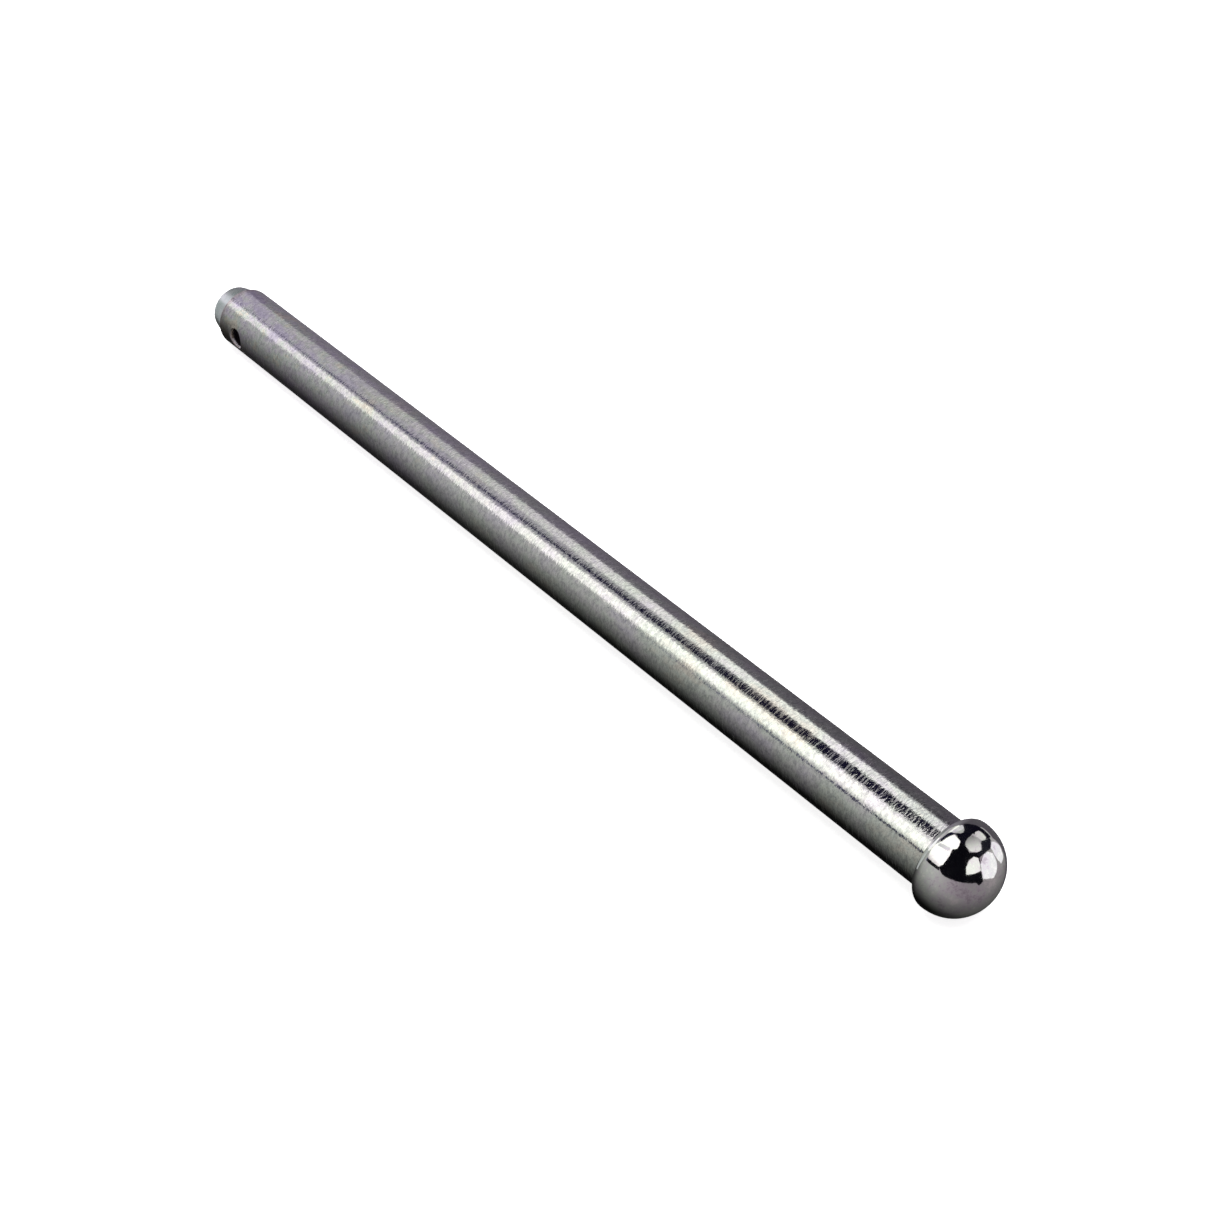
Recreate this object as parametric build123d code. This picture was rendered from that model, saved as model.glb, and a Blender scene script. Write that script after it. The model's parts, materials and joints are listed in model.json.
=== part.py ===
"""Steel hitch pin with a polished domed head and a cross hole for a retaining clip.

Millimetres.  The pin's axis is X.  The origin is on that axis, in the plane where the head
closes on the shank.  +X runs down the shank to the nose, +Z is up, and the clip hole runs
along Y.  Both pieces are bodies of revolution about X.
"""
from build123d import *
import os

# Shank
SHANK_D = 12.7                  # 1/2 in bar
USABLE_LENGTH = 203.2           # 8 in, from the head to the centre of the clip hole
HOLE_TO_SHOULDER = 6.35         # from the clip hole's centre to the end of the full-size bar
CLIP_HOLE_D = 3.97              # 5/32 in
HOLE_EDGE_BREAK = 0.25          # chamfer round each mouth of the clip hole
SHOULDER_CHAMFER = 0.25

# Nose, the reduced end of the bar
NOSE_LENGTH = 4.7
NOSE_BASE_D = 12.0
NOSE_END_D = 9.8
NOSE_EDGE_RADIUS = 0.75

# Head
HEAD_D = 16.6
HEAD_HEIGHT = 10.0
RIM_FULLNESS = 0.6              # curve handle at the rim, as a share of the dome's height
CROWN_FULLNESS = 0.55           # curve handle at the crown, as a share of the head's radius

# Spigot on the shank, pressed in the head's blind bore
SPIGOT_D = 7.9
SPIGOT_LENGTH = 5.2
SPIGOT_CHAMFER = 0.4
BORE_END_GAP = 0.4              # air between the spigot's end and the bore's end

SHANK_R = SHANK_D / 2
HEAD_R = HEAD_D / 2
SPIGOT_R = SPIGOT_D / 2
SHOULDER_X = USABLE_LENGTH + HOLE_TO_SHOULDER
NOSE_END_X = SHOULDER_X + NOSE_LENGTH


def turned(outline):
    """Turn a closed outline, drawn in XY with Y as the radius, about the pin's axis."""
    return revolve(make_face(outline), Axis.X)


def bar():
    """The turned bar: spigot, full-size length, chamfered shoulder and tapered nose."""
    outline = Polyline(
        (-SPIGOT_LENGTH, 0),
        (-SPIGOT_LENGTH, SPIGOT_R - SPIGOT_CHAMFER),
        (-SPIGOT_LENGTH + SPIGOT_CHAMFER, SPIGOT_R),
        (0, SPIGOT_R),
        (0, SHANK_R),
        (SHOULDER_X - SHOULDER_CHAMFER, SHANK_R),
        (SHOULDER_X, SHANK_R - SHOULDER_CHAMFER),
        (SHOULDER_X, NOSE_BASE_D / 2),
        (NOSE_END_X, NOSE_END_D / 2),
        (NOSE_END_X, 0),
        close=True,
    )
    solid = turned(outline)
    nose_edge = solid.edges().filter_by(GeomType.CIRCLE).sort_by(Axis.X)[-1]
    return fillet(nose_edge, NOSE_EDGE_RADIUS)


def shank():
    """The bar with its cross hole drilled for the clip and both mouths deburred."""
    drill = Pos(USABLE_LENGTH, 0, 0) * Rot(X=90) * Cylinder(CLIP_HOLE_D / 2, 2 * SHANK_D)
    drilled = bar() - drill
    wall = drilled.faces().filter_by(GeomType.CYLINDER).filter_by(
        lambda face: abs(face.radius - CLIP_HOLE_D / 2) < 0.01
    )
    mouths = [edge for edge in wall.edges() if edge.geom_type != GeomType.LINE]
    return chamfer(mouths, HOLE_EDGE_BREAK)


def head():
    """The domed button: a rim rounded on to the shank, a full dome and a blind bore."""
    rim_x = -(HEAD_R - SHANK_R)
    rim = (rim_x, HEAD_R)
    crown = (-HEAD_HEIGHT, 0)
    dome_height = HEAD_HEIGHT + rim_x
    bore_end_x = -SPIGOT_LENGTH - BORE_END_GAP
    outline = [
        Line(crown, (bore_end_x, 0)),
        Line((bore_end_x, 0), (bore_end_x, SPIGOT_R)),
        Line((bore_end_x, SPIGOT_R), (0, SPIGOT_R)),
        Line((0, SPIGOT_R), (0, SHANK_R)),
        CenterArc((rim_x, SHANK_R), HEAD_R - SHANK_R, 0, 90),
        Bezier(
            rim,
            (rim_x - RIM_FULLNESS * dome_height, HEAD_R),
            (-HEAD_HEIGHT, CROWN_FULLNESS * HEAD_R),
            crown,
        ),
    ]
    return turned(outline)


def main():
    """Write each piece of the pin to its own file."""
    os.makedirs("parts", exist_ok=True)
    pieces = {"shank": shank(), "head": head()}
    for name, piece in pieces.items():
        export_step(piece, f"parts/{name}.step")


main()
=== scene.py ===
"""Hitch pin: turned zinc-plated shank, mirror-polished domed head, pale studio.

Metres, in the part's own frame: the pin's axis is X, with the head at the origin and the nose
towards +X.  The clip hole runs along Y, and +Z is up.
"""
import json
import math

import bmesh
import bpy
import numpy as np
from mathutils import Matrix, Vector


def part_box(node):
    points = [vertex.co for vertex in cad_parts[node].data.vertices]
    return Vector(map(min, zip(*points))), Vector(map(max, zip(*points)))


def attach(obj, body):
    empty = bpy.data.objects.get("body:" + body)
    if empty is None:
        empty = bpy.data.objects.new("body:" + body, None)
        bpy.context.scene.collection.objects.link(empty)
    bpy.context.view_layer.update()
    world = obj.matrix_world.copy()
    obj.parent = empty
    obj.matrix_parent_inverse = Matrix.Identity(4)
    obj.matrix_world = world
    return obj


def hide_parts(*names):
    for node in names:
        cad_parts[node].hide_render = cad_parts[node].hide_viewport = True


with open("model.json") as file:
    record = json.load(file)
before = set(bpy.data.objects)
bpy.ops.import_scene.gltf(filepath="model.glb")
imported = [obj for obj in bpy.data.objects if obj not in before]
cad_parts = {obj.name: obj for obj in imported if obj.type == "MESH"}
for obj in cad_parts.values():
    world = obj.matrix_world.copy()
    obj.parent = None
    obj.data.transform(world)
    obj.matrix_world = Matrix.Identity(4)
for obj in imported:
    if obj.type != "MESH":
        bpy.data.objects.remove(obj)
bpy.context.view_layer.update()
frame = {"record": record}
mounts = {mount["name"]: mount for mount in frame["record"]["mounts"]}

# Sizes from the frame
MM = 0.001
SHANK_R = mounts["shank"]["dims"]["r_mm"] * MM
HOLE_R = mounts["clip_hole"]["dims"]["r_mm"] * MM
HOLE_X = mounts["clip_hole"]["pos_m"][0]
HEAD_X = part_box("head")[0].x
HEAD_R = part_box("head")[1].z
SPIGOT_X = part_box("shank")[0].x
NOSE_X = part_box("shank")[1].x

# Sizes that the frame's boxes don't show, as in the part's own design
SHOULDER_X = HOLE_X + 6.35 * MM
SHOULDER_CHAMFER = 0.25 * MM
NOSE_BASE_R = 6.0 * MM
NOSE_END_R = 4.9 * MM
NOSE_EDGE_R = 0.75 * MM
MOUTH_CHAMFER = 0.25 * MM
SPIGOT_R = 3.95 * MM
SPIGOT_CHAMFER = 0.4 * MM
BORE_END_GAP = 0.4 * MM
RIM_R = HEAD_R - SHANK_R        # of the quarter-round behind the head's dome
RIM_FULLNESS = 0.6              # length of the dome curve's handle at the rim, by its height
CROWN_FULLNESS = 0.55           # and at the crown, by its radius

# Meshes
SEGMENTS = 128                  # round both pieces
TURN_PITCH = 0.3 * MM           # between the shank's turning marks
TURN_DEPTH = 0.006 * MM         # of the deepest of them
CONE_RINGS_START = 0.3 * MM     # from the nose cone's base to its second ring
CONE_RINGS_END = 0.2 * MM       # from its last ring to the rounded edge
MOUTH_HALF_CELLS = 11           # pitches from the clip hole's centre to its patch's edge
MOUTH_HALF_SEGMENTS = 10        # segments from the clip hole's centre to its patch's edge
MOUTH_RINGS = 7                 # between the patch's edge and the mouth
BORE_RINGS = 12                 # in the clip hole's wall
SPIGOT_RINGS = 5                # in the spigot's end face, and along it
SHOULDER_RINGS = 7              # from the clip hole's patch to the shoulder
CONE_RINGS = 14
NOSE_EDGE_RINGS = 10
NOSE_END_RINGS = 14
DOME_RINGS = 110
RIM_RINGS = 26
SEAT_RINGS = 4                  # in the face that rests on the bar's end
HOLLOW_RINGS = 6                # along the head's bore
HOLLOW_END_RINGS = 5
SHARP_ANGLE = math.radians(28)
POINT_R = 1e-9                  # a ring smaller than this is one point on the axis

# Material slots of the shank and of the head
TURNED, SMOOTH, BORE = 0, 1, 2
POLISHED, HEAD_BORE = 0, 1

# Camera
AIM = Vector((0.0828, 0.0020, 0.0002))
AZIMUTH = math.radians(231.64)
ELEVATION = math.radians(38.04)
DISTANCE = 0.41
SENSOR_MM = 36.0
LENS_MM = 68.1
CLIP_START = 0.01

# Studio
FLOOR_HALF = 20.0
BACKDROP_R = 8.0
LAMP_SIZE = 1.6
LAMP_WATTS = 22.0
LAMP_HEIGHT = 1.4
PAPER = (1.0, 1.0, 1.0)
WHITE = (1.0, 1.0, 0.97)
WARM = (1.0, 1.0, 0.95)
COOL = (0.97, 0.95, 1.0)
DARK = (0.6, 0.6, 0.9)

random = np.random.default_rng(12)


# ---------------------------------------------------------------- outlines

def arc(centre, radius, start, end, steps):
    """Points of an arc in the outline plane (x, radius), with the angles in degrees from +X."""
    turns = np.radians(np.linspace(start, end, steps))
    return [(centre[0] + radius * math.cos(a), centre[1] + radius * math.sin(a)) for a in turns]


def bezier(p0, p1, p2, p3, steps):
    """Points of a cubic Bezier curve."""
    p0, p1, p2, p3 = (np.array(p) for p in (p0, p1, p2, p3))
    return [
        tuple((1 - t) ** 3 * p0 + 3 * (1 - t) ** 2 * t * p1 + 3 * (1 - t) * t**2 * p2 + t**3 * p3)
        for t in np.linspace(0, 1, steps)
    ]


def line(start, end, steps):
    """Points of a straight stretch, both ends included."""
    return [tuple(p) for p in np.linspace(start, end, steps)]


def spigot_outline(bar_radius):
    """The spigot in the head, from the axis out to the bar's end face and its radius there."""
    outline = line((SPIGOT_X, 0), (SPIGOT_X, SPIGOT_R - SPIGOT_CHAMFER), SPIGOT_RINGS)
    outline += line((SPIGOT_X + SPIGOT_CHAMFER, SPIGOT_R), (0, SPIGOT_R), SPIGOT_RINGS)
    outline += line((0, (SPIGOT_R + SHANK_R) / 2), (0, bar_radius), 2)
    return outline


def nose_outline():
    """The chamfered shoulder and the nose: cone, rounded edge and flat end."""
    slope = math.degrees(math.atan2(NOSE_BASE_R - NOSE_END_R, NOSE_X - SHOULDER_X))
    fall = math.tan(math.radians(slope))
    # The edge's arc touches the cone and the flat end.
    edge_x = NOSE_X - NOSE_EDGE_R
    cone_r = NOSE_END_R + NOSE_EDGE_R * fall
    edge_r = cone_r - NOSE_EDGE_R / math.cos(math.radians(slope))
    outline = [(SHOULDER_X, SHANK_R - SHOULDER_CHAMFER), (SHOULDER_X, NOSE_BASE_R)]
    outline += line(
        (SHOULDER_X + CONE_RINGS_START, NOSE_BASE_R - CONE_RINGS_START * fall),
        (edge_x - CONE_RINGS_END, cone_r + CONE_RINGS_END * fall),
        CONE_RINGS,
    )
    outline += arc((edge_x, edge_r), NOSE_EDGE_R, 90 - slope, 0, NOSE_EDGE_RINGS)
    outline += line((NOSE_X, edge_r), (NOSE_X, 0), NOSE_END_RINGS)[1:]
    return outline


def dome_outline():
    """The head's outside: dome from the crown, then the quarter-round rim to the bar."""
    dome_height = -RIM_R - HEAD_X
    dome = bezier(
        (HEAD_X, 0),
        (HEAD_X, CROWN_FULLNESS * HEAD_R),
        (-RIM_R - RIM_FULLNESS * dome_height, HEAD_R),
        (-RIM_R, HEAD_R),
        DOME_RINGS,
    )
    return dome + arc((-RIM_R, SHANK_R), RIM_R, 90, 0, RIM_RINGS)[1:]


def hollow_outline():
    """The head's rear face inside the bar's radius, and its blind bore."""
    bore_end = SPIGOT_X - BORE_END_GAP
    outline = line((0, SHANK_R), (0, SPIGOT_R), SEAT_RINGS)[1:]
    outline += line((0, SPIGOT_R), (bore_end, SPIGOT_R), HOLLOW_RINGS)[1:]
    outline += line((bore_end, SPIGOT_R), (bore_end, 0), HOLLOW_END_RINGS)[1:]
    return outline


# ---------------------------------------------------------------- meshes

class Lathe:
    """A mesh in the making: rings of vertices about X, joined by quads."""

    def __init__(self):
        self.points = []
        self.faces = []
        self.slots = []

    def add(self, point):
        self.points.append(tuple(point))
        return len(self.points) - 1

    def ring(self, x, radius):
        """One ring, or a single vertex where the outline meets the axis."""
        if radius < POINT_R:
            return [self.add((x, 0, 0))] * SEGMENTS
        turns = 2 * np.pi * np.arange(SEGMENTS) / SEGMENTS
        return [self.add((x, radius * math.cos(a), radius * math.sin(a))) for a in turns]

    def face(self, corners, slot):
        unique = list(dict.fromkeys(corners))
        if len(unique) > 2:
            self.faces.append(unique)
            self.slots.append(slot)

    def join(self, first, second, slot, skip=()):
        """Quads between two closed loops of as many vertices, apart from the places in skip."""
        count = len(first)
        for j in range(count):
            if j not in skip:
                k = (j + 1) % count
                self.face([first[j], second[j], second[k], first[k]], slot)

    def turn(self, outline, slot, previous=None):
        """An outline's rings, joined in turn and to a ring before them.  Returns the last."""
        for x, radius in outline:
            ring = self.ring(x, radius)
            if previous:
                self.join(previous, ring, slot)
            previous = ring
        return previous

    def build(self, name, materials):
        """The finished object, smooth apart from its real edges."""
        mesh = bpy.data.meshes.new(name)
        mesh.from_pydata(self.points, [], self.faces)
        mesh.polygons.foreach_set("material_index", self.slots)
        work = bmesh.new()
        work.from_mesh(mesh)
        loose = [v for v in work.verts if not v.link_faces]
        bmesh.ops.delete(work, geom=loose, context="VERTS")
        bmesh.ops.recalc_face_normals(work, faces=work.faces)
        work.to_mesh(mesh)
        work.free()
        for material in materials:
            mesh.materials.append(material)
        mesh.shade_smooth()
        mesh.set_sharp_from_angle(angle=SHARP_ANGLE)
        return place_mesh(mesh)


def place_mesh(mesh):
    """A new object of that mesh and name, in the scene."""
    piece = bpy.data.objects.new(mesh.name, mesh)
    bpy.context.scene.collection.objects.link(piece)
    return piece


class TurningMarks:
    """Depth of the lathe tool's marks along the shank: random, one value for each pitch."""

    def __init__(self):
        count = int(SHOULDER_X / TURN_PITCH) + 3
        self.stations = np.arange(count) * TURN_PITCH
        self.depths = TURN_DEPTH * random.random(count) ** 1.5

    def radius(self, x):
        return SHANK_R - float(np.interp(x, self.stations, self.depths))


def clip_hole_mouth(lathe, marks, loop, side):
    """Surface from a loop of ring vertices in to the clip hole's chamfered mouth."""
    corners = [lathe.points[i] for i in loop]
    turns = [math.atan2(z, x - HOLE_X) for x, _, z in corners]
    outer = HOLE_R + MOUTH_CHAMFER
    previous = loop
    for step in range(1, MOUTH_RINGS + 1):
        share = step / MOUTH_RINGS
        ring = []
        for (x, _, z), a in zip(corners, turns):
            px = x + share * (HOLE_X + outer * math.cos(a) - x)
            pz = z + share * (outer * math.sin(a) - z)
            ring.append(lathe.add((px, side * math.sqrt(marks.radius(px) ** 2 - pz**2), pz)))
        lathe.join(previous, ring, TURNED)
        previous = ring
    inner = []
    for a in turns:
        z = HOLE_R * math.sin(a)
        y = math.sqrt(SHANK_R**2 - z**2) - MOUTH_CHAMFER
        inner.append(lathe.add((HOLE_X + HOLE_R * math.cos(a), side * y, z)))
    lathe.join(previous, inner, TURNED)
    return inner


def clip_hole_wall(lathe, near, far):
    """Wall of the clip hole between its two mouths."""
    previous = near
    for step in range(1, BORE_RINGS):
        share = step / BORE_RINGS
        ring = [
            lathe.add(Vector(lathe.points[i]).lerp(Vector(lathe.points[j]), share))
            for i, j in zip(near, far)
        ]
        lathe.join(previous, ring, BORE)
        previous = ring
    lathe.join(previous, far, BORE)


def clip_hole(lathe, marks, rings, first, last):
    """The clip hole, in the squares that the rings first to last leave open at +Y and -Y."""
    low, high = -MOUTH_HALF_SEGMENTS, MOUTH_HALF_SEGMENTS
    edge = [(first, j) for j in range(low, high)]
    edge += [(i, high) for i in range(first, last)]
    edge += [(last, j) for j in range(high, low, -1)]
    edge += [(i, low) for i in range(last, first, -1)]
    near_loop = [rings[i][j % SEGMENTS] for i, j in edge]
    far_loop = [rings[i][(SEGMENTS // 2 - j) % SEGMENTS] for i, j in edge]
    near = clip_hole_mouth(lathe, marks, near_loop, 1)
    far = clip_hole_mouth(lathe, marks, far_loop, -1)
    clip_hole_wall(lathe, near, far)


def make_shank(turned, smooth, bore):
    """The bar: spigot, turned length with its clip hole, chamfered shoulder and nose."""
    lathe = Lathe()
    marks = TurningMarks()
    start = lathe.turn(spigot_outline(marks.radius(0)), SMOOTH)

    patch_start = HOLE_X - MOUTH_HALF_CELLS * TURN_PITCH
    patch_end = HOLE_X + MOUTH_HALF_CELLS * TURN_PITCH
    first = int(round(patch_start / TURN_PITCH))
    last = first + 2 * MOUTH_HALF_CELLS
    stations = list(np.linspace(0, patch_start, first + 1))
    stations += list(np.linspace(patch_start, patch_end, 2 * MOUTH_HALF_CELLS + 1))[1:]
    stations += list(np.linspace(patch_end, SHOULDER_X - SHOULDER_CHAMFER, SHOULDER_RINGS))[1:]
    rings = [start] + [lathe.ring(x, marks.radius(x)) for x in stations[1:]]
    mouths = {
        (middle + j) % SEGMENTS
        for middle in (0, SEGMENTS // 2)
        for j in range(-MOUTH_HALF_SEGMENTS, MOUTH_HALF_SEGMENTS)
    }
    for i, (ring, following) in enumerate(zip(rings, rings[1:])):
        lathe.join(ring, following, TURNED, skip=mouths if first <= i < last else ())
    clip_hole(lathe, marks, rings, first, last)
    lathe.turn(nose_outline(), SMOOTH, rings[-1])
    return lathe.build("shank_turned", [turned, smooth, bore])


def make_head(polished, bore):
    """The domed button, with the blind bore that takes the spigot."""
    lathe = Lathe()
    rim_end = lathe.turn(dome_outline(), POLISHED)
    lathe.turn(hollow_outline(), HEAD_BORE, rim_end)
    return lathe.build("head_polished", [polished, bore])


# ---------------------------------------------------------------- materials

class Graph:
    """The node tree of a material or a world under construction."""

    def __init__(self, owner):
        owner.use_nodes = True
        self.nodes = owner.node_tree.nodes
        self.links = owner.node_tree.links

    def feed(self, target, value):
        """Links a node's output to a socket, or gives the socket a constant."""
        if isinstance(value, bpy.types.NodeSocket):
            self.links.new(value, target)
        else:
            target.default_value = value

    def axes(self, kind="Object"):
        """X, Y and Z of the coordinates of that kind."""
        parts = self.nodes.new("ShaderNodeSeparateXYZ")
        place = self.nodes.new("ShaderNodeTexCoord").outputs[kind]
        self.links.new(place, parts.inputs["Vector"])
        return parts.outputs

    def math(self, operation, *values):
        node = self.nodes.new("ShaderNodeMath")
        node.operation = operation
        for target, value in zip(node.inputs, values):
            self.feed(target, value)
        return node.outputs["Value"]

    def spread(self, value, low, high, start=0.3, end=0.7):
        """Maps start..end of a value to low..high."""
        node = self.nodes.new("ShaderNodeMapRange")
        node.inputs["From Min"].default_value = start
        node.inputs["From Max"].default_value = end
        node.inputs["To Min"].default_value = low
        node.inputs["To Max"].default_value = high
        self.links.new(value, node.inputs["Value"])
        return node.outputs["Result"]

    def ramp(self, value, *stops):
        """A colour ramp with (position, colour) stops."""
        node = self.nodes.new("ShaderNodeValToRGB")
        elements = node.color_ramp.elements
        while len(elements) < len(stops):
            elements.new(0.5)
        for element, (position, colour) in zip(elements, stops):
            element.position = position
            element.color = (*colour, 1.0)
        self.links.new(value, node.inputs["Fac"])
        return node.outputs["Color"]

    def mix(self, factor, first, second, blend="MIX"):
        node = self.nodes.new("ShaderNodeMix")
        node.data_type = "RGBA"
        node.blend_type = blend
        for name, value in (("Factor", factor), ("A", first), ("B", second)):
            self.feed(next(i for i in node.inputs if i.name == name and i.enabled), value)
        return next(o for o in node.outputs if o.enabled)


class Shader(Graph):
    """A Principled material under construction."""

    def __init__(self, name):
        self.material = bpy.data.materials.new(name)
        super().__init__(self.material)
        self.principled = self.nodes["Principled BSDF"]
        self.place = self.nodes.new("ShaderNodeTexCoord").outputs["Object"]

    def set(self, **values):
        for socket, value in values.items():
            self.principled.inputs[socket.replace("_", " ")].default_value = value

    def link(self, output, socket):
        self.links.new(output, self.principled.inputs[socket])

    def noise(self, scale, detail=4.0, rough=0.55):
        """Noise from 0 to 1 whose size on each axis is about 1/scale metres."""
        mapping = self.nodes.new("ShaderNodeMapping")
        mapping.inputs["Scale"].default_value = scale
        self.links.new(self.place, mapping.inputs["Vector"])
        node = self.nodes.new("ShaderNodeTexNoise")
        node.inputs["Scale"].default_value = 1.0
        node.inputs["Detail"].default_value = detail
        node.inputs["Roughness"].default_value = rough
        self.links.new(mapping.outputs["Vector"], node.inputs["Vector"])
        return node.outputs["Fac"]

    def distance(self, centre):
        """Distance in metres from a point."""
        node = self.nodes.new("ShaderNodeVectorMath")
        node.operation = "DISTANCE"
        node.inputs[1].default_value = centre
        self.links.new(self.place, node.inputs[0])
        return node.outputs["Value"]

    def bump(self, height, depth, below=None):
        """A bump of that depth in metres for a height from 0 to 1."""
        node = self.nodes.new("ShaderNodeBump")
        node.inputs["Strength"].default_value = 1.0
        node.inputs["Distance"].default_value = depth
        self.links.new(height, node.inputs["Height"])
        if below is not None:
            self.links.new(below, node.inputs["Normal"])
        return node.outputs["Normal"]


def zinc_tint_and_painted_shade(shader):
    """Colour of the clear zinc: green, violet and straw blotches, stronger towards the nose, with
    painted shade before the shoulder and a painted violet tint on the underside.
    """
    faint = shader.ramp(
        shader.noise((55, 110, 110), detail=6, rough=0.7),
        (0.38, (0.80, 0.75, 0.83)),
        (0.46, (0.82, 0.80, 0.80)),
        (0.54, (0.79, 0.83, 0.77)),
        (0.64, (0.88, 0.83, 0.75)),
    )
    strong = shader.ramp(
        shader.noise((150, 230, 230), detail=5, rough=0.7),
        (0.41, (0.73, 0.66, 0.83)),
        (0.49, (0.84, 0.79, 0.85)),
        (0.56, (0.76, 0.82, 0.78)),
        (0.63, (0.92, 0.84, 0.75)),
    )
    axes = shader.axes()
    along = shader.spread(axes["X"], 0.0, 1.0, 0.4 * SHOULDER_X, SHOULDER_X)
    tint = shader.mix(along, faint, strong)
    # Painted shade: the last millimetre before the shoulder is painted darker and browner.
    end = shader.spread(axes["X"], 0.0, 1.0, SHOULDER_X - 1.6 * MM, SHOULDER_X - 0.3 * MM)
    tint = shader.mix(end, tint, (0.66, 0.57, 0.60, 1.0))
    # Painted shade: a dark olive patch is painted on the +Y side of the bar, low down, between the
    # clip hole and the shoulder.
    painted_shade_patch_centre = (HOLE_X + 4.4 * MM, SHANK_R, -1.2 * MM)
    painted_shade_patch = shader.spread(shader.distance(painted_shade_patch_centre), 0.9, 0.0, 1.5 * MM, 4.4 * MM)
    tint = shader.mix(painted_shade_patch, tint, (0.30, 0.29, 0.20, 1.0))
    # Painted reflection tint: the underside is painted more violet and slightly darker towards the
    # nose.
    under = shader.spread(axes["Z"], 1.0, 0.0, -1.0 * MM, 2.5 * MM)
    late = shader.spread(axes["X"], 0.0, 1.0, 0.55 * SHOULDER_X, 0.8 * SHOULDER_X)
    violet = shader.math("MULTIPLY", under, late)
    return shader.mix(violet, tint, (0.95, 0.86, 0.98, 1.0), "MULTIPLY")


def turned_steel():
    """Turned bar under clear zinc, with grooves round it."""
    shader = Shader("turned_steel")
    grain = shader.noise((1600, 1100, 1100), detail=3, rough=0.8)
    shade = shader.ramp(grain, (0.34, (0.64, 0.64, 0.67)), (0.58, (1.0, 1.0, 1.0)))
    # Base colour: zinc tint and grain, with painted shade and a painted violet underside.
    shader.link(shader.mix(1.0, zinc_tint_and_painted_shade(shader), shade, "MULTIPLY"), "Base Color")
    # Single grooves are duller, which breaks up the edges of dark reflections.
    groove = shader.noise((3200, 350, 350), detail=2)
    shader.link(shader.spread(groove, 0.06, 0.30, 0.48, 0.66), "Roughness")
    coarse = shader.bump(shader.noise((2600, 1300, 1300), detail=2), 0.03 * MM)
    fine = shader.bump(shader.noise((6000, 300, 300), detail=1), 0.0015 * MM, coarse)
    shader.link(fine, "Normal")
    tangent = shader.nodes.new("ShaderNodeTangent")
    tangent.direction_type = "RADIAL"
    tangent.axis = "X"
    shader.link(tangent.outputs["Tangent"], "Tangent")
    shader.set(Metallic=1.0, Anisotropic=0.3, Anisotropic_Rotation=0.25)
    return shader.material


def smooth_steel():
    """The nose's finish: finer than the shank's, paler and slightly blue."""
    shader = Shader("smooth_steel")
    tint = shader.ramp(
        shader.noise((220, 220, 220), detail=3),
        (0.38, (0.52, 0.57, 0.57)),
        (0.62, (0.64, 0.64, 0.67)),
    )
    shader.link(tint, "Base Color")
    shader.link(shader.spread(shader.noise((900, 900, 900), detail=3), 0.24, 0.34), "Roughness")
    shader.link(shader.bump(shader.noise((3000, 700, 700), detail=2), 0.004 * MM), "Normal")
    shader.set(Metallic=1.0)
    return shader.material


def bore_steel_painted_light_and_shade():
    """Drilled wall: painted near-black shade inside, painted dark shade near the mouths and painted
    light in their lower part.
    """
    shader = Shader("bore_steel_painted_light_and_shade")
    axes = shader.axes()
    across = shader.math("ABSOLUTE", axes["Y"])
    outer = shader.spread(across, 0.0, 1.0, 5.45 * MM, 5.8 * MM)
    low = shader.spread(axes["Z"], 0.0, 1.0, -0.8 * MM, -1.5 * MM)
    # Painted light: the lower part of the wall near each mouth is painted bright, as if lit from
    # above.
    painted_lit_wall = shader.ramp(
        shader.noise((500, 2500, 500), detail=3),
        (0.35, (0.74, 0.69, 0.80)),
        (0.65, (0.88, 0.85, 0.92)),
    )
    # Painted shade: the rest of the wall near the mouths is painted dark brown.
    painted_shade_wall = shader.ramp(
        shader.noise((900, 1500, 900), detail=3),
        (0.40, (0.05, 0.04, 0.03)),
        (0.60, (0.22, 0.18, 0.15)),
    )
    wall = shader.mix(low, painted_shade_wall, painted_lit_wall)
    # Painted shade: the wall deeper in than the mouths is painted near-black.
    shader.link(shader.mix(outer, (0.012, 0.008, 0.012, 1.0), wall), "Base Color")
    shader.link(shader.spread(shader.noise((600, 3000, 600), detail=2), 0.35, 0.50), "Roughness")
    shader.link(shader.bump(shader.noise((700, 4000, 700), detail=2), 0.008 * MM), "Normal")
    shader.set(Metallic=0.4)
    return shader.material


def polished_steel():
    """The head's mirror finish, with a faint ripple and slightly hazy patches."""
    shader = Shader("polished_steel")
    tint = shader.ramp(
        shader.noise((280, 280, 280), detail=6, rough=0.85),
        (0.38, (0.57, 0.52, 0.56)),
        (0.46, (0.78, 0.74, 0.77)),
        (0.54, (0.77, 0.80, 0.75)),
        (0.63, (0.95, 0.92, 0.89)),
    )
    shader.link(tint, "Base Color")
    shader.link(shader.spread(shader.noise((300, 300, 300), detail=4), 0.03, 0.10), "Roughness")
    shader.link(shader.bump(shader.noise((700, 700, 700), detail=3), 0.010 * MM), "Normal")
    shader.set(Metallic=1.0)
    return shader.material


# ---------------------------------------------------------------- studio

def glow(name, colour, strength, fade=None):
    """A light-giving surface.  fade = (axis, start, end, last strength) changes it along an axis."""
    material = bpy.data.materials.new(name)
    graph = Graph(material)
    graph.nodes.clear()
    emission = graph.nodes.new("ShaderNodeEmission")
    emission.inputs["Color"].default_value = (*colour, 1.0)
    emission.inputs["Strength"].default_value = strength
    if fade:
        axis, start, end, last = fade
        level = graph.spread(graph.axes()[axis], strength, last, start, end)
        graph.links.new(level, emission.inputs["Strength"])
    output = graph.nodes.new("ShaderNodeOutputMaterial")
    graph.links.new(emission.outputs["Emission"], output.inputs["Surface"])
    return material


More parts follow.
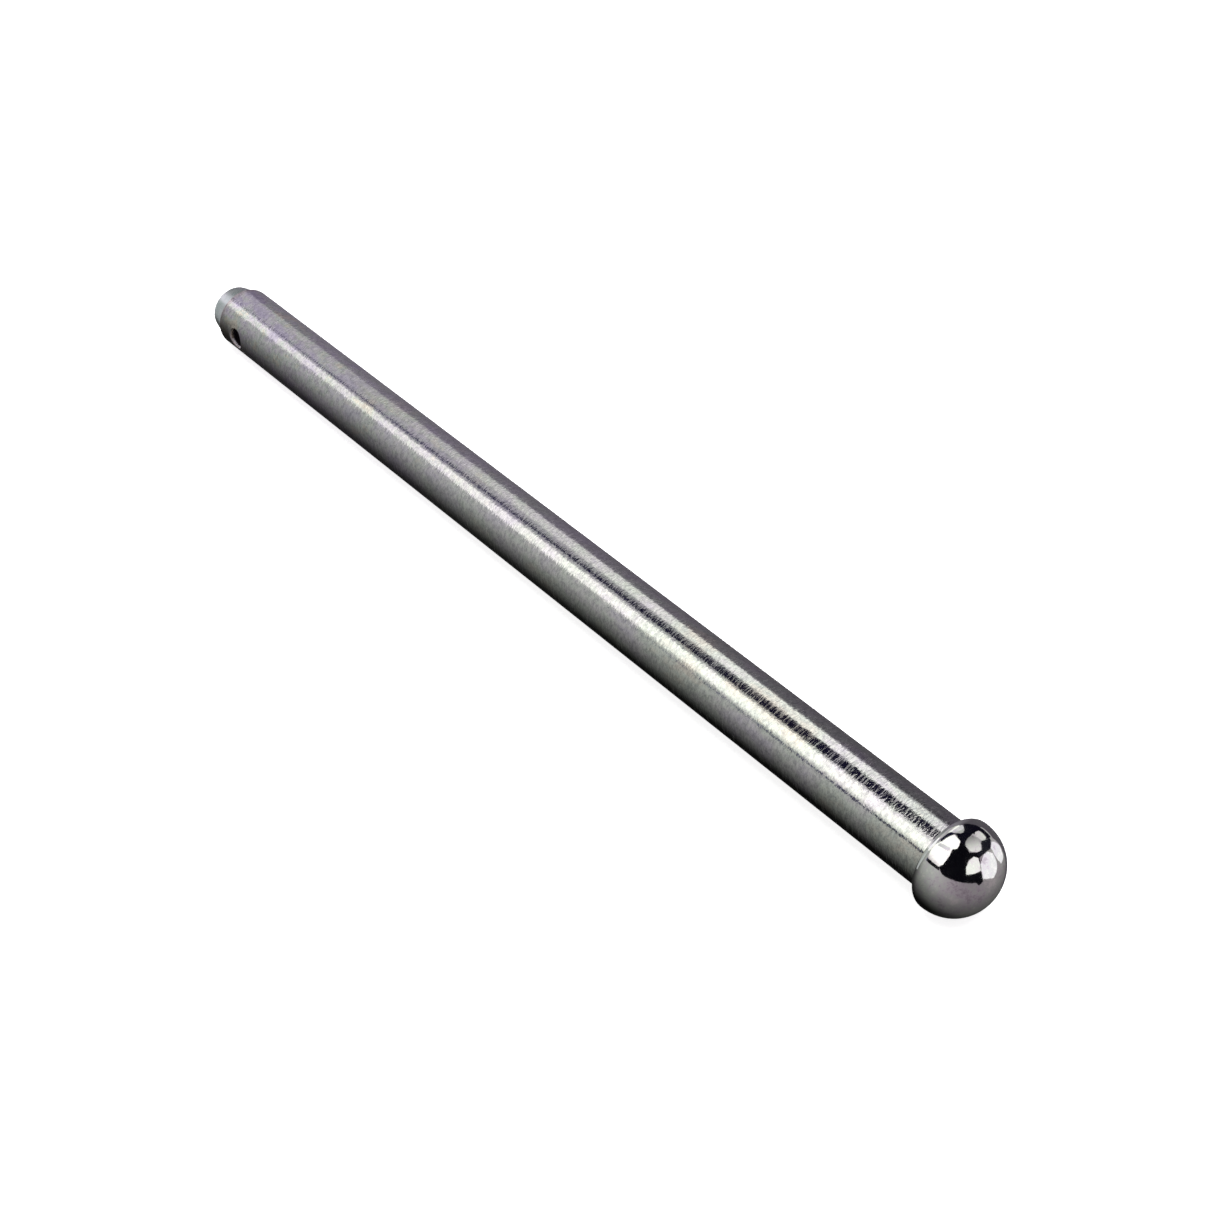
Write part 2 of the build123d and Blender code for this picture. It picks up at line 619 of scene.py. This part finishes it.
def panel(name, outline, reach, colour, strength, fade=None):
    """A studio panel that only the metal reflects.

    The outline gives its corners' directions from the head: degrees from -X, degrees about X
    from +Y towards +Z.  reach is its distance, and fade is in units of that distance.
    Most outlines on the head were traced: the light and dark shapes in the photograph's
    reflections were mapped back to directions.  The rest were fitted by comparison with it.
    So the panels repeat one photograph's studio, and they aren't plain light.
    """
    corners = []
    for polar, turn in outline:
        p, t = math.radians(polar), math.radians(turn)
        corners.append((
            -reach * math.cos(p),
            reach * math.sin(p) * math.cos(t),
            reach * math.sin(p) * math.sin(t),
        ))
    mesh = bpy.data.meshes.new(name)
    mesh.from_pydata(corners, [], [range(len(corners))])
    if fade:
        axis, start, end, last = fade
        fade = (axis, start * reach, end * reach, last)
    mesh.materials.append(glow(name, colour, strength, fade))
    board = place_mesh(mesh)
    board.visible_camera = False
    board.visible_diffuse = False
    board.visible_shadow = False


def near_panels():
    """The large soft box over the pin's +Y side, in two parts, and its dark lower border."""
    panel("softbox_near", [
        (113, 29), (88, 30), (82, 40), (82, 52), (83, 62), (86, 69), (88, 76), (83, 84), (85, 92),
        (91, 100), (100, 102), (110, 104), (113, 98), (114, 90), (116, 77), (121, 70), (128, 68),
        (128, 38), (122, 30),
    ], 3.0, WARM, 0.5, ("Z", 0.41, 0.56, 1.42))
    panel("softbox_joint", [
        (93, 67), (118, 64), (118, 71), (93, 76),
    ], 2.2, COOL, 0.95, ("X", 0.15, 0.36, 0.74))
    panel("softbox_near_end", [
        (127, 70), (131, 67), (141, 67), (165, 70), (165, 30), (148, 40), (141, 48), (131, 40),
        (127, 36),
    ], 3.0, WARM, 1.4, ("X", 0.62, 0.75, 0.96))
    panel("softbox_edge", [
        (84, 23), (124, 23), (126, 30), (86, 31),
    ], 3.1, DARK, 0.01, ("X", 0.40, 0.6, 0.35))


def front_panels():
    """The dark studio in front of the head, and the panes of light in it."""
    panel("front_dark", [
        (86, 28), (73, 18), (48, 16), (27, 19), (4, 45), (17, 234), (21, 210), (19, 172), (21, 142),
        (34, 130), (44, 126), (56, 117), (61, 102), (79, 103), (91, 100), (85, 92), (83, 84),
        (88, 76), (86, 69), (83, 62), (82, 52), (82, 40), (88, 30),
    ], 3.0, DARK, 0.006)
    panel("side_dark", [
        (91, 100), (111, 108), (105, 115), (104, 122), (108, 130), (115, 137), (118, 147),
        (116, 158), (108, 165), (102, 170), (92, 175), (83, 158), (90, 149), (95, 135), (89, 120),
        (85, 108), (79, 103),
    ], 2.65, (0.5, 0.45, 1.0), 0.01)
    panel("front_gap", [
        (56, 117), (58, 129), (72, 138), (84, 146), (83, 159), (91, 170), (79, 169), (64, 158),
        (59, 151), (51, 139), (44, 126),
    ], 3.0, DARK, 0.02)
    panel("front_box_small", [
        (25, 52), (38, 72), (46, 90), (49, 108), (45, 121), (21, 142), (15, 95),
    ], 1.8, WHITE, 1.1)
    panel("front_box_low", [
        (33, 131), (51, 140), (59, 151), (62, 168), (59, 185), (54, 199), (46, 207), (19, 196),
        (23, 145),
    ], 1.9, COOL, 1.1)
    panel("front_box_strip", [
        (63, 174), (70, 163), (82, 168), (88, 181), (91, 194), (86, 202), (71, 199), (64, 188),
    ], 1.9, COOL, 1.05)
    panel("front_box_high", [
        (76, 102), (86, 110), (90, 120), (92, 130), (86, 136), (69, 138), (59, 135), (56, 121),
        (62, 105),
    ], 1.9, WHITE, 0.9, ("X", -0.42, -0.04, 0.33))
    panel("front_box_side", [
        (91, 135), (97, 144), (99, 154), (94, 158), (87, 160), (82, 155), (79, 144), (86, 139),
    ], 1.9, WHITE, 0.8)


def far_panels():
    """The soft box on the -Y side, the dark gap beside it, and the mauve wall below it."""
    panel("softbox_far", [
        (111, 114), (114, 107), (126, 105), (141, 103), (141, 139), (126, 138), (113, 139),
        (109, 125),
    ], 2.8, WHITE, 1.25, ("X", 0.52, 0.72, 0.44))
    panel("softbox_far_start", [
        (111, 114), (114, 107), (118, 106), (118, 138), (113, 139), (109, 125),
    ], 2.75, COOL, 0.78)
    panel("softbox_far_edge", [
        (109, 131), (126, 130), (141, 131), (141, 140), (126, 139), (112, 140),
    ], 2.79, COOL, 0.42)
    panel("gap", [
        (108, 109), (118, 106), (124, 103), (128, 97), (132, 89), (138, 81), (141, 80), (141, 74),
        (138, 74), (132, 78), (127, 79), (122, 75), (119, 74), (116, 77), (114, 90),
    ], 2.6, (0.35, 0.30, 1.0), 0.025, ("X", 0.61, 0.74, 0.10))
    panel("gap_surround", [
        (123, 104), (141, 104), (141, 68), (128, 68),
    ], 3.2, COOL, 0.5)
    panel("mauve_side", [
        (108, 139), (124, 138), (141, 139), (152, 150), (152, 228), (141, 231), (124, 232),
        (108, 230), (92, 225), (92, 180), (106, 173), (107, 160),
    ], 2.7, (0.93, 0.86, 1.0), 0.105, ("X", 0.45, 0.72, 0.26))
    panel("mauve_side_edge", [
        (126, 138), (141, 137), (141, 144), (126, 143),
    ], 2.65, COOL, 0.34)


def end_panels():
    """The light past the nose."""
    panel("end_light", [
        (152, turn) for turn in range(0, 360, 45)
    ], 3.3, (0.95, 1.0, 1.0), 0.25, ("Y", -0.3, 0.3, 0.58))
    panel("end_box", [
        (138, 72), (141, 103), (139, 139), (152, 140), (168, 110), (168, 60),
    ], 3.28, COOL, 0.55)
    panel("end_box_top", [
        (143, 66), (149, 88), (156, 100), (178, 104), (178, 30), (165, 30), (150, 50),
    ], 2.6, COOL, 1.2)


def make_surroundings():
    """Empty studio: a grey that brightens upwards, dark below and half as strong past the head."""
    world = bpy.data.worlds.new("surroundings")
    graph = Graph(world)
    axes = graph.axes("Generated")
    # Directions past the head count as higher and those past the nose as lower.
    tilt = -0.5
    lowest, highest = -1.1, 0.3
    height = graph.math("MULTIPLY_ADD", axes["X"], tilt, axes["Z"])
    levels = [
        (0.0, 0.004), (0.07, 0.032), (0.21, 0.105), (0.36, 0.18), (0.50, 0.27), (0.64, 0.38),
        (0.79, 0.46), (1.0, 0.52),
    ]
    stops = [(position, (level, level, level)) for position, level in levels]
    grey = graph.ramp(graph.spread(height, 0.0, 1.0, lowest, highest), *stops)
    side = graph.spread(axes["X"], 0.0, 1.0, -0.8, 0.2)
    tint = graph.mix(side, (1.0, 0.90, 0.98, 1.0), (0.98, 1.0, 0.97, 1.0))
    background = graph.nodes["Background"]
    graph.links.new(graph.mix(1.0, grey, tint, "MULTIPLY"), background.inputs["Color"])
    strength = graph.spread(axes["X"], 0.5, 1.0, -1.0, 0.0)
    graph.links.new(strength, background.inputs["Strength"])
    bpy.context.scene.world = world


def make_floor():
    """Pale floor under the pin, which lies on the head's rim and on the end of its full bar."""
    slope = RIM_R / (SHOULDER_X - SHOULDER_CHAMFER + RIM_R)
    corners = [
        (x, y, -HEAD_R + slope * (x + RIM_R))
        for x, y in (
            (-FLOOR_HALF, -FLOOR_HALF), (FLOOR_HALF, -FLOOR_HALF),
            (FLOOR_HALF, FLOOR_HALF), (-FLOOR_HALF, FLOOR_HALF),
        )
    ]
    mesh = bpy.data.meshes.new("floor")
    mesh.from_pydata(corners, [], [(0, 1, 2, 3)])
    shader = Shader("floor")
    shader.set(Base_Color=(0.86, 0.86, 0.86, 1.0), Roughness=0.9, Specular_IOR_Level=0.0)
    shader.set(Emission_Color=(*PAPER, 1.0), Emission_Strength=0.75)
    mesh.materials.append(shader.material)
    floor = place_mesh(mesh)
    floor.visible_glossy = False


def make_backdrop():
    """Pale wall all round, which only the camera sees, past the floor."""
    mesh = bpy.data.meshes.new("backdrop")
    work = bmesh.new()
    bmesh.ops.create_uvsphere(work, u_segments=64, v_segments=32, radius=BACKDROP_R)
    work.to_mesh(mesh)
    work.free()
    mesh.materials.append(glow("backdrop", PAPER, 1.0))
    backdrop = place_mesh(mesh)
    backdrop.visible_glossy = False
    backdrop.visible_diffuse = False
    backdrop.visible_shadow = False


def make_lamp():
    """Broad soft light over the floor; the metal reflects the panels instead."""
    lamp = bpy.data.lights.new("soft_light", "AREA")
    lamp.shape = "DISK"
    lamp.size = LAMP_SIZE
    lamp.energy = LAMP_WATTS
    light = bpy.data.objects.new("soft_light", lamp)
    light.location = (0.0, 0.0, LAMP_HEIGHT)
    light.visible_glossy = False
    bpy.context.scene.collection.objects.link(light)


def make_camera():
    """Camera at the reference view, level, with a portrait lens."""
    data = bpy.data.cameras.new("camera")
    data.sensor_width = SENSOR_MM
    data.lens = LENS_MM
    data.clip_start = CLIP_START
    camera = bpy.data.objects.new("camera", data)
    back = Vector((
        math.sin(AZIMUTH) * math.cos(ELEVATION),
        -math.cos(AZIMUTH) * math.cos(ELEVATION),
        math.sin(ELEVATION),
    ))
    camera.location = AIM + back * DISTANCE
    camera.rotation_euler = (-back).to_track_quat("-Z", "Y").to_euler()
    bpy.context.scene.collection.objects.link(camera)
    bpy.context.scene.camera = camera


# ---------------------------------------------------------------- the scene

make_camera()
bore = bore_steel_painted_light_and_shade()
shank = make_shank(turned_steel(), smooth_steel(), bore)
head = make_head(polished_steel(), bore)
for piece, node, slot in ((shank, "shank", "turned_steel"), (head, "head", "polished_steel")):
    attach(piece, "root")
    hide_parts(node)
make_surroundings()
make_floor()
make_backdrop()
make_lamp()
near_panels()
front_panels()
far_panels()
end_panels()
bpy.context.scene.view_settings.view_transform = "Standard"
